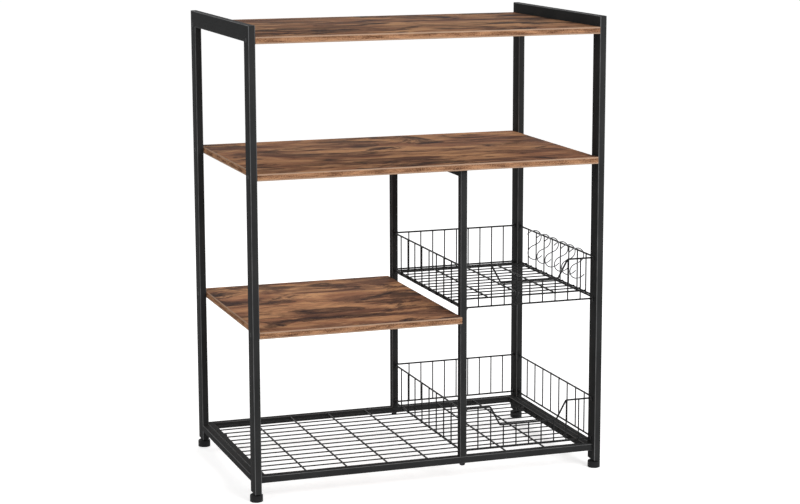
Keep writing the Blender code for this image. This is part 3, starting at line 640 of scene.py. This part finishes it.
# ---- side frames, base frame and centre frame
for side, _ in SIDES:
    for end, y_side in ENDS:
        tube_piece(f"post_{side}_{end}", Z, POST_WALL, POST_ROUND, slant_post(y_side))
    tube_piece(f"rail_{side}_top", Y, POST_WALL, POST_ROUND, slant_rail)
    tube_piece(f"rail_{side}_bottom", Y, BAR_WALL, BAR_ROUND)
    tube_piece(f"base_rail_{side}", Y, BAR_WALL, BAR_ROUND)
for end, _ in ENDS:
    tube_piece(f"base_rail_{end}", X, BAR_WALL, BAR_ROUND)
    tube_piece(f"centre_post_{end}", Z, BAR_WALL, BAR_ROUND)
tube_piece("centre_crossbar", Y, BAR_WALL, BAR_ROUND)


WELD_RINGS = 22
WELD_SIDES = 10
WELD_RIPPLES = 7
WELD_SWELL = 0.35
WELD_RIPPLE_SHARE = 0.10
WELD_END_SHARE = 0.05
WELD_INSET = 0.0015
WELD_DOWN = 0.0004
TOP_WELD, BOTTOM_WELD, CENTRE_WELD, BASE_WELD = 0.0021, 0.0014, 0.0018, 0.0011
BOTTOM_WELD_UP = 0.0002
CENTRE_WELD_INSET = 0.001
BASE_WELD_INSET = 0.002


def weld_bead(name, start, stop, radius):
    """A rippled weld bead laid in a corner between two tubes."""
    start, stop = Vector(start), Vector(stop)
    run = stop - start
    bm = bmesh.new()
    side = run.orthogonal().normalized()
    up = run.normalized().cross(side)
    loops = []
    for index in range(WELD_RINGS + 1):
        share = index / WELD_RINGS
        swell = max(math.sin(math.pi * share), 0.0) ** WELD_SWELL
        ripple = 1 + WELD_RIPPLE_SHARE * math.sin(2 * math.pi * WELD_RIPPLES * share)
        size = radius * max(swell, WELD_END_SHARE) * ripple
        loop = []
        for turn in range(WELD_SIDES):
            angle = 2 * math.pi * turn / WELD_SIDES
            outward = side * math.cos(angle) + up * math.sin(angle)
            loop.append(bm.verts.new(start + run * share + outward * size))
        loops.append(loop)
    for first, second in zip(loops, loops[1:]):
        for turn in range(WELD_SIDES):
            after = (turn + 1) % WELD_SIDES
            bm.faces.new((first[turn], first[after], second[after], second[turn]))
    bm.faces.new(list(reversed(loops[0])))
    bm.faces.new(loops[-1])
    place_piece(bpy.data.objects.new(name, mesh_from(bm, name, WELD_SHARP)), weld_coat)


post_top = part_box("rail_left_top")[1].z
for side, x_side in SIDES:
    x0, x1 = x_side * (INNER_X + WELD_INSET), x_side * (WIDTH / 2 - WELD_INSET)
    low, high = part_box(f"rail_{side}_bottom")
    for end, y_side in ENDS:
        y, z = y_side * (INNER_Y - WELD_DOWN), post_top - TOP_RAIL_TALL - WELD_DOWN
        weld_bead(f"weld_{side}_{end}_top", (x0, y, z), (x1, y, z), TOP_WELD)
        y, z = y_side * INNER_Y, low.z + BOTTOM_WELD_UP
        weld_bead(f"weld_{side}_{end}_bottom", (x0, y, z), (x1, y, z), BOTTOM_WELD)
low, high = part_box("centre_crossbar")
for end, y_side in ENDS:
    y = y_side * CENTRE_IN_Y
    x0, x1 = low.x + CENTRE_WELD_INSET, high.x - CENTRE_WELD_INSET
    weld_bead(f"weld_centre_{end}", (x0, y, low.z), (x1, y, low.z), CENTRE_WELD)
low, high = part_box("base_rail_front")
for side, x_side in SIDES:
    for end, y_side in ENDS:
        x, y = x_side * (INNER_X - BAR), y_side * abs(high.y)
        z0, z1 = low.z + BASE_WELD_INSET, high.z - BASE_WELD_INSET
        weld_bead(f"weld_base_{side}_{end}", (x, y, z0), (x, y, z1), BASE_WELD)

# ---- boards
# Each board's last number paints its print darker or lighter in place of light and shade: the boards lower
# down, which get less light, are painted lighter.
BOARDS = (("board_top", (1.7, 0.4, 0.0), 0.78), ("board_middle", (0.1, 2.2, 0.0), 1.15),
          ("board_lower", (3.4, 1.2, 0.0), 1.40))
for name, shift, painted_light_tone in BOARDS:
    low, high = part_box(name)
    bm = rounded_block(high - low, BOARD_ROUND, None, BOARD_ROUND_STEPS)
    obj = bpy.data.objects.new(name + "_panel", mesh_from(bm, name + "_panel", BOARD_SHARP))
    obj.location = (low + high) / 2
    place_piece(obj, board_finish(name + "_decor", shift, painted_light_tone), nodes=(name,))

# ---- base grid
_, rails_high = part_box("base_rail_front")
in_y, in_x = abs(rails_high.y), INNER_X - BAR
cross_z = rails_high.z - GRID_SINK
long_z = cross_z + (GRID_CROSS_WIRE + GRID_LONG_WIRE) / 2 - WELD_SINK
routes = []
for index in range(GRID_CROSS_BARS):
    y = (index - (GRID_CROSS_BARS - 1) / 2) * 2 * in_y / GRID_CROSS_BARS
    routes.append(([(-in_x, y, cross_z), (in_x, y, cross_z)], GRID_CROSS_WIRE))
for index in range(GRID_LONG_BARS):
    x = (index - (GRID_LONG_BARS - 1) / 2) * 2 * in_x / (GRID_LONG_BARS + 1)
    routes.append(([(x, -in_y, long_z), (x, in_y, long_z)], GRID_LONG_WIRE))
grid = bpy.data.objects.new("base_grid_wires", wire_mesh("base_grid_wires", routes))
place_piece(grid, wire_coat, nodes=("base_grid",))

# ---- basket panels
PANEL_SCREW_HEAD = 0.0020
PANEL_SCREW_SIDES = 20
eye_edge = EYE_THICK * EYE_EDGE_SHARE
eye_profile = ([(EYE_HOLE / 2, EYE_THICK), (EYE / 2 - eye_edge, EYE_THICK)]
               + arc((EYE / 2 - eye_edge, EYE_THICK - eye_edge), eye_edge, 90, 0, 3)
               + arc((EYE / 2 - eye_edge, eye_edge), eye_edge, 0, -90, 3)
               + [(EYE_HOLE / 2, 0), (EYE_HOLE / 2, EYE_THICK)])
eye_mesh = spun("eye", eye_profile, EYE_SIDES)
screw_profile = [(0, PANEL_SCREW_HEAD), (0.0010, 0.00198), (0.0018, 0.0018), (0.0025, 0.0014),
                 (0.0030, 0.0008), (0.0031, 0.0004), (0.0031, 0), (0.0015, 0), (0.0015, -0.006), (0, -0.0064)]
screw_mesh = with_recess("panel_screw", spun("panel_screw", screw_profile, PANEL_SCREW_SIDES),
                         radius=0.0016, top=PANEL_SCREW_HEAD, depth=0.0008, cross=True)
screw_numbers = itertools.count(1)


def eyes_and_screws(ends, parts):
    """An eye for each wire end, joined to the panel, and the screw that holds it."""
    for face, away, aside in ends:
        middle = Vector(face) + Vector(aside) * EYE_ASIDE
        turn = UPWARD.rotation_difference(Vector(away)).to_matrix().to_4x4()
        parts.append((eye_mesh, Matrix.Translation(middle + Vector(away) * GAP) @ turn))
        seat = (middle + Vector(away) * (GAP + EYE_THICK), away)
        at_seat(f"panel_screw_{next(screw_numbers):02d}", screw_mesh, seat)


def joined(name, mesh, parts):
    """One mesh of a panel's wires and its eyes."""
    bm = bmesh.new()
    bm.from_mesh(mesh)
    for part, matrix in parts:
        start = len(bm.verts)
        bm.from_mesh(part)
        bm.verts.ensure_lookup_table()
        bmesh.ops.transform(bm, matrix=matrix, verts=bm.verts[start:])
    return bpy.data.objects.new(name, mesh_from(bm, name, WIRE_SHARP))


def wire_ends(start, stop, away, aside, levels):
    """Both ends of the frame wires at some levels, for their eyes and screws."""
    ends = []
    for z in levels:
        ends.append(((*start, z), away, aside))
        ends.append(((*stop, z), tuple(-part for part in away), aside))
    return ends


def face_panel(level, end, y_side, base):
    """Front or back panel; a front panel's rim dips in the middle."""
    low = POST_BOTTOM + base
    rim = low + PANEL_TALL
    y = y_side * FACE_Y
    start, stop = CENTRE_RIGHT + WIRE_END_CLEAR, INNER_X - WIRE_END_CLEAR
    routes = [([(start, y, low), (stop, y, low)], RIM_WIRE)]
    if end == "front":
        shoulder = BAY_SPAN / 2 - DIP_BARS * FACE_PITCH
        trough = shoulder - DIP_SLOPE
        rim_route = [(start, y, rim), (BAY_MID - shoulder, y, rim), (BAY_MID - trough, y, rim - DIP_DEEP),
                     (BAY_MID + trough, y, rim - DIP_DEEP), (BAY_MID + shoulder, y, rim), (stop, y, rim)]
        routes.append((rounded(rim_route, RIM_BEND), RIM_WIRE))
    else:
        routes.append(([(start, y, rim), (stop, y, rim)], RIM_WIRE))
        if level == "upper":
            routes.append(([(start, y, low + TRAY_RAIL_RISE), (stop, y, low + TRAY_RAIL_RISE)], RIM_WIRE))
    lap_y = y + y_side * LAP
    for index in range(FACE_BARS):
        x = BAY_MID + (index - (FACE_BARS - 1) / 2) * FACE_PITCH
        dips = end == "front" and min(index, FACE_BARS - 1 - index) >= DIP_BARS
        top = rim - DIP_DEEP if dips else rim
        routes.append(([(x, lap_y, low - WIRE_TAIL), (x, lap_y, top + WIRE_TAIL)], UPRIGHT_WIRE))
    name = f"{level}_panel_{end}"
    parts = []
    eyes_and_screws(wire_ends((CENTRE_RIGHT, y), (INNER_X, y), (1, 0, 0), (0, y_side, 0), (low, rim)), parts)
    place_piece(joined(name + "_wires", wire_mesh(name, routes), parts), wire_coat, nodes=(name,))


def side_routes(x, reach, x_side, base):
    """The wires of a side panel, and the ends that are screwed to the posts."""
    low = POST_BOTTOM + base
    rim = low + PANEL_TALL
    stop = reach - WIRE_END_CLEAR
    routes = [([(x, -stop, z), (x, stop, z)], RIM_WIRE) for z in (low, rim)]
    for index in range(SIDE_BARS):
        y = (index - (SIDE_BARS - 1) / 2) * SIDE_PITCH
        bar_x = x + x_side * LAP
        routes.append(([(bar_x, y, low - WIRE_TAIL), (bar_x, y, rim + WIRE_TAIL)], UPRIGHT_WIRE))
    ends = wire_ends((x, -reach), (x, reach), (0, 1, 0), (0, 0, 1), (low, rim))
    return routes, ends


SIDE_PANELS = (("left", CENTRE_X, CENTRE_IN_Y, -1), ("right", POST_X, INNER_Y, 1))
for level, base in (("lower", LOWER_PANEL), ("upper", UPPER_PANEL)):
    for end, y_side in ENDS:
        face_panel(level, end, y_side, base)
for side, x, reach, x_side in SIDE_PANELS:
    name = f"lower_panel_{side}"
    routes, ends = side_routes(x, reach, x_side, LOWER_PANEL)
    parts = []
    eyes_and_screws(ends, parts)
    place_piece(joined(name + "_wires", wire_mesh(name, routes), parts), wire_coat, nodes=(name,))

# Upper tray: side panels with second wires, the floor's cross wires over them, then the braces
tray_rim = POST_BOTTOM + UPPER_PANEL + PANEL_TALL
tray_rail_z = POST_BOTTOM + UPPER_PANEL + TRAY_RAIL_RISE
floor_z = tray_rail_z + (RIM_WIRE + UPRIGHT_WIRE) / 2 - WELD_SINK
brace_z = floor_z + (UPRIGHT_WIRE + FLOOR_LONG_WIRE) / 2 - WELD_SINK
routes = []
parts = []
for side, x, reach, x_side in SIDE_PANELS:
    side_set, ends = side_routes(x, reach, x_side, UPPER_PANEL)
    routes += side_set
    routes.append(([(x, -TRAY_RAIL_REACH, tray_rail_z), (x, TRAY_RAIL_REACH, tray_rail_z)], RIM_WIRE))
    eyes_and_screws(ends, parts)
for index in range(FLOOR_BARS):
    y = (2 * index / (FLOOR_BARS - 1) - 1) * FLOOR_REACH
    thickness = FLOOR_LONG_WIRE if index in (0, FLOOR_BARS - 1) else UPRIGHT_WIRE
    routes.append(([(CENTRE_X - WIRE_TAIL, y, floor_z), (POST_X + WIRE_TAIL, y, floor_z)], thickness))
for step in (-1, 0, 1):
    x = BAY_MID + step * FLOOR_BRACE_SHARE * BAY_SPAN
    reach = FLOOR_REACH + WIRE_TAIL
    routes.append(([(x, -reach, brace_z), (x, reach, brace_z)], FLOOR_LONG_WIRE))
tray = joined("upper_tray_wires", wire_mesh("upper_tray", routes), parts)
place_piece(tray, wire_coat, nodes=("upper_tray",))

# ---- hooks over the upper right rim; the half below the middle is the upper half turned round
crown = (RIM_WIRE + HOOK_WIRE) / 2 + GAP
hook_span = HOOK_TALL - HOOK_WIRE
leave = math.acos(2 * HOOK_RADIUS / (hook_span - 2 * HOOK_RADIUS))


def hook_arc(radius, first, last):
    """Points of a bend below the crown, its turn counted from the crown to the open side."""
    steps = math.ceil(abs(last - first) / math.pi * HOOK_STEPS)
    points = []
    for step in range(steps + 1):
        turn = first + (last - first) * step / steps
        points.append(Vector((-radius * math.sin(turn), 0, crown - radius + radius * math.cos(turn))))
    return points


upper_half = hook_arc(HOOK_TIP_RADIUS, math.pi * HOOK_TIP_SHARE, 0)
upper_half += hook_arc(HOOK_RADIUS, 0, leave - math.pi)[1:]
lower_half = [Vector((-point.x, 0, 2 * crown - hook_span - point.z)) for point in reversed(upper_half)]
hook_mesh = wire_mesh("hook", [(upper_half + lower_half, HOOK_WIRE)], HOOK_SIDES, HOOK_TIP)
for number in range(1, HOOK_COUNT + 1):
    low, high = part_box(f"hook_{number}")
    obj = bpy.data.objects.new(f"hook_{number}_wire", hook_mesh.copy())
    obj.location = (POST_X, (low.y + high.y) / 2, tray_rim)
    place_piece(obj, hook_plating, f"hook_{number}", (f"hook_{number}",))

# ---- bolts and screws
BOLT_HEAD = 0.0055
BOLT_RADIUS = 0.00625
BOLT_LENGTH = 0.012
BOLT_SHANK = 0.0030
CROSSBAR_HEAD = 0.0020
CROSSBAR_SHANK = 0.0020
CROSSBAR_SIDES = 24
SUNK_TOP = 0.0001
SUNK_LENGTH = 0.02
SUNK_SHANK = 0.0025
HEAD_SIDES = 32
bolt_profile = ([(0, BOLT_HEAD), (0.0036, BOLT_HEAD)] + arc((0.0036, 0.0029), 0.0026, 80, 10, 6)
                + [(BOLT_RADIUS, 0.0020), (BOLT_RADIUS, 0.0005), (0.0060, 0), (BOLT_SHANK, 0),
                   (BOLT_SHANK, -BOLT_LENGTH), (0, -BOLT_LENGTH)])
bolt_mesh = with_recess("button_bolt", spun("button_bolt", bolt_profile, HEAD_SIDES),
                        radius=0.0023, top=BOLT_HEAD, depth=0.0026)
for end, _ in ENDS:
    low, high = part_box(f"centre_bolt_{end}")
    seat = (((low.x + high.x) / 2, (low.y + high.y) / 2, low.z + BOLT_HEAD), (0, 0, -1))
    at_seat(f"centre_bolt_{end}_head", bolt_mesh, seat, (f"centre_bolt_{end}",))
    for side, x_side in SIDES:
        low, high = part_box(f"base_bolt_{side}_{end}")
        x = low.x + BOLT_HEAD if x_side > 0 else high.x - BOLT_HEAD
        seat = ((x, (low.y + high.y) / 2, (low.z + high.z) / 2), (-x_side, 0, 0))
        at_seat(f"base_bolt_{side}_{end}_head", bolt_mesh, seat, (f"base_bolt_{side}_{end}",))
crossbar_profile = [(0, CROSSBAR_HEAD), (0.0012, 0.00196), (0.0024, 0.0017), (0.0034, 0.0011),
                    (0.0040, 0.0003), (0.0040, 0), (CROSSBAR_SHANK, 0), (CROSSBAR_SHANK, -BOLT_LENGTH),
                    (0, -BOLT_LENGTH)]
crossbar_mesh = with_recess("crossbar_screw", spun("crossbar_screw", crossbar_profile, CROSSBAR_SIDES),
                            radius=0.0019, top=CROSSBAR_HEAD, depth=0.0010, cross=True)
for end, _ in ENDS:
    low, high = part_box(f"crossbar_screw_{end}")
    seat = (((low.x + high.x) / 2, (low.y + high.y) / 2, low.z + CROSSBAR_HEAD), (0, 0, -1))
    at_seat(f"crossbar_screw_{end}_head", crossbar_mesh, seat, (f"crossbar_screw_{end}",))
sunk_profile = [(0, SUNK_TOP), (0.0046, SUNK_TOP), (0.0049, -0.0001), (0.0049, -0.0004),
                (SUNK_SHANK, -0.0025), (SUNK_SHANK, -SUNK_LENGTH), (0, -SUNK_LENGTH)]
sunk_mesh = with_recess("board_screw", spun("board_screw", sunk_profile, HEAD_SIDES),
                        radius=0.0019, top=SUNK_TOP, depth=0.0020)
for level in ("top", "middle", "lower"):
    for side, x_side in SIDES:
        for end, _ in ENDS:
            node = f"board_screw_{level}_{side}_{end}"
            low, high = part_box(node)
            x = high.x if x_side > 0 else low.x
            seat = ((x, (low.y + high.y) / 2, (low.z + high.z) / 2), (x_side, 0, 0))
            at_seat(node + "_head", sunk_mesh, seat, (node,))

# ---- feet
FOOT_RADIUS = 0.014
FOOT_TALL = 0.016
FOOT_EDGE = 0.003
FOOT_SOLE_EDGE = 0.0015
FOOT_SOLE_HOLLOW = 0.0006
NECK_RADIUS = 0.008
NECK_TOP = 0.0187
STUD_RADIUS = 0.004
STUD_TOP = 0.049
SMALL_EDGE = 0.0005
FOOT_SIDES = 64
foot_profile = [(0, STUD_TOP), (STUD_RADIUS - SMALL_EDGE, STUD_TOP), (STUD_RADIUS, STUD_TOP - SMALL_EDGE),
                (STUD_RADIUS, NECK_TOP), (NECK_RADIUS - SMALL_EDGE, NECK_TOP),
                (NECK_RADIUS, NECK_TOP - SMALL_EDGE), (NECK_RADIUS, FOOT_TALL)]
foot_profile += arc((FOOT_RADIUS - FOOT_EDGE, FOOT_TALL - FOOT_EDGE), FOOT_EDGE, 90, 0, 7)
foot_profile += arc((FOOT_RADIUS - FOOT_SOLE_EDGE, FOOT_SOLE_EDGE), FOOT_SOLE_EDGE, 0, -90, 5)
foot_profile += [(0.010, 0), (0.0095, FOOT_SOLE_HOLLOW), (0, FOOT_SOLE_HOLLOW)]
foot_mesh = spun("foot", foot_profile, FOOT_SIDES)
for side, _ in SIDES:
    for end, _ in ENDS:
        node = f"foot_{side}_{end}"
        obj = bpy.data.objects.new(node + "_turned", foot_mesh.copy())
        low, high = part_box(node)
        obj.location = ((low.x + high.x) / 2, (low.y + high.y) / 2, 0)
        place_piece(obj, foot_plastic, node, (node,))
        keep_node(f"foot_plug_{side}_{end}", plug_plastic)

# ---- floor, light and camera
FLOOR_HALF = 30
FLOOR_GLOW = 0.62
SOFT_STRENGTH, WHITE_STRENGTH = 0.50, 1.0


def background_rays(tree):
    """One for the rays that show the white background: the camera's, and those of gloss and glass."""
    rays = add(tree, "ShaderNodeLightPath")
    through = calculate(tree, "MAXIMUM", rays.outputs["Is Glossy Ray"], rays.outputs["Is Transmission Ray"])
    return calculate(tree, "MAXIMUM", rays.outputs["Is Camera Ray"], through)


floor_mesh = bpy.data.meshes.new("floor")
bm = bmesh.new()
bmesh.ops.create_grid(bm, x_segments=1, y_segments=1, size=FLOOR_HALF)
bm.to_mesh(floor_mesh)
bm.free()
floor = bpy.data.objects.new("floor", floor_mesh)
bpy.context.scene.collection.objects.link(floor)
pale = bpy.data.materials.new("pale_floor")
pale.use_nodes = True
tree = pale.node_tree
tree.nodes.clear()
grain = add(tree, "ShaderNodeTexNoise", in_Scale=3.0, in_Detail=2.0)
floor_tone = ramp(tree, grain.outputs["Fac"], [(0.3, (0.80, 0.80, 0.80)), (0.7, (0.82, 0.82, 0.82))])
matt = add(tree, "ShaderNodeBsdfDiffuse", in_Color=floor_tone)
glow = add(tree, "ShaderNodeEmission", in_Strength=FLOOR_GLOW)
lit = add(tree, "ShaderNodeAddShader")
tree.links.new(matt.outputs[0], lit.inputs[0])
tree.links.new(glow.outputs[0], lit.inputs[1])
choose = add(tree, "ShaderNodeMixShader", in_Fac=background_rays(tree))
tree.links.new(matt.outputs[0], choose.inputs[1])
tree.links.new(lit.outputs[0], choose.inputs[2])
tree.links.new(choose.outputs[0], add(tree, "ShaderNodeOutputMaterial").inputs[0])
floor_mesh.materials.append(pale)

world = bpy.data.worlds.new("studio")
bpy.context.scene.world = world
world.use_nodes = True
tree = world.node_tree
tree.nodes.clear()
soft = add(tree, "ShaderNodeBackground", in_Color=(1, 1, 1, 1), in_Strength=SOFT_STRENGTH)
white = add(tree, "ShaderNodeBackground", in_Color=(1, 1, 1, 1), in_Strength=WHITE_STRENGTH)
choose = add(tree, "ShaderNodeMixShader", in_Fac=background_rays(tree))
tree.links.new(soft.outputs[0], choose.inputs[1])
tree.links.new(white.outputs[0], choose.inputs[2])
tree.links.new(choose.outputs[0], add(tree, "ShaderNodeOutputWorld").inputs[0])


def soft_box(name, place, target, size, power):
    """A rectangular light, aimed at a target."""
    light = bpy.data.lights.new(name, "AREA")
    light.shape = "RECTANGLE"
    light.size, light.size_y = size
    light.energy = power
    obj = bpy.data.objects.new(name, light)
    obj.location = place
    obj.rotation_euler = (Vector(target) - Vector(place)).to_track_quat("-Z", "Y").to_euler()
    bpy.context.scene.collection.objects.link(obj)


soft_box("key_light", (1.3, -3.6, 2.6), target=(0, 0, 0.5), size=(1.8, 1.8), power=92)
soft_box("fill_light", (-3.0, -1.2, 2.4), target=(0, 0, 0.6), size=(1.6, 2.0), power=8)
soft_box("back_light", (0.4, 2.6, 2.8), target=(0, 0, 0.7), size=(2.4, 1.2), power=36)

# The camera stands left of, in front of and above the rack; its frame is 800 by 504
CAMERA_PLACE = Vector((-1.5099, -4.4034, 1.3299))
PHOTO_WIDTH, FOCAL_PIXELS, SENSOR_WIDTH = 800, 2100.7, 36
SEEN_FAR = 60
YAW, PITCH, ROLL = math.radians(19.07), math.radians(10.40), math.radians(-0.148)
ahead = Vector((math.sin(YAW) * math.cos(PITCH), math.cos(YAW) * math.cos(PITCH), -math.sin(PITCH)))
level = Vector((math.cos(YAW), -math.sin(YAW), 0))
upward = level.cross(ahead)
right = level * math.cos(ROLL) + upward * math.sin(ROLL)
up = upward * math.cos(ROLL) - level * math.sin(ROLL)
camera_data = bpy.data.cameras.new("photo_camera")
camera_data.sensor_width = SENSOR_WIDTH
camera_data.sensor_fit = "HORIZONTAL"
camera_data.lens = FOCAL_PIXELS / PHOTO_WIDTH * SENSOR_WIDTH
camera_data.clip_end = SEEN_FAR
camera = bpy.data.objects.new("photo_camera", camera_data)
camera.matrix_world = Matrix.Translation(CAMERA_PLACE) @ Matrix((right, up, -ahead)).transposed().to_4x4()
bpy.context.scene.collection.objects.link(camera)
bpy.context.scene.camera = camera
bpy.context.scene.view_settings.view_transform = "Standard"
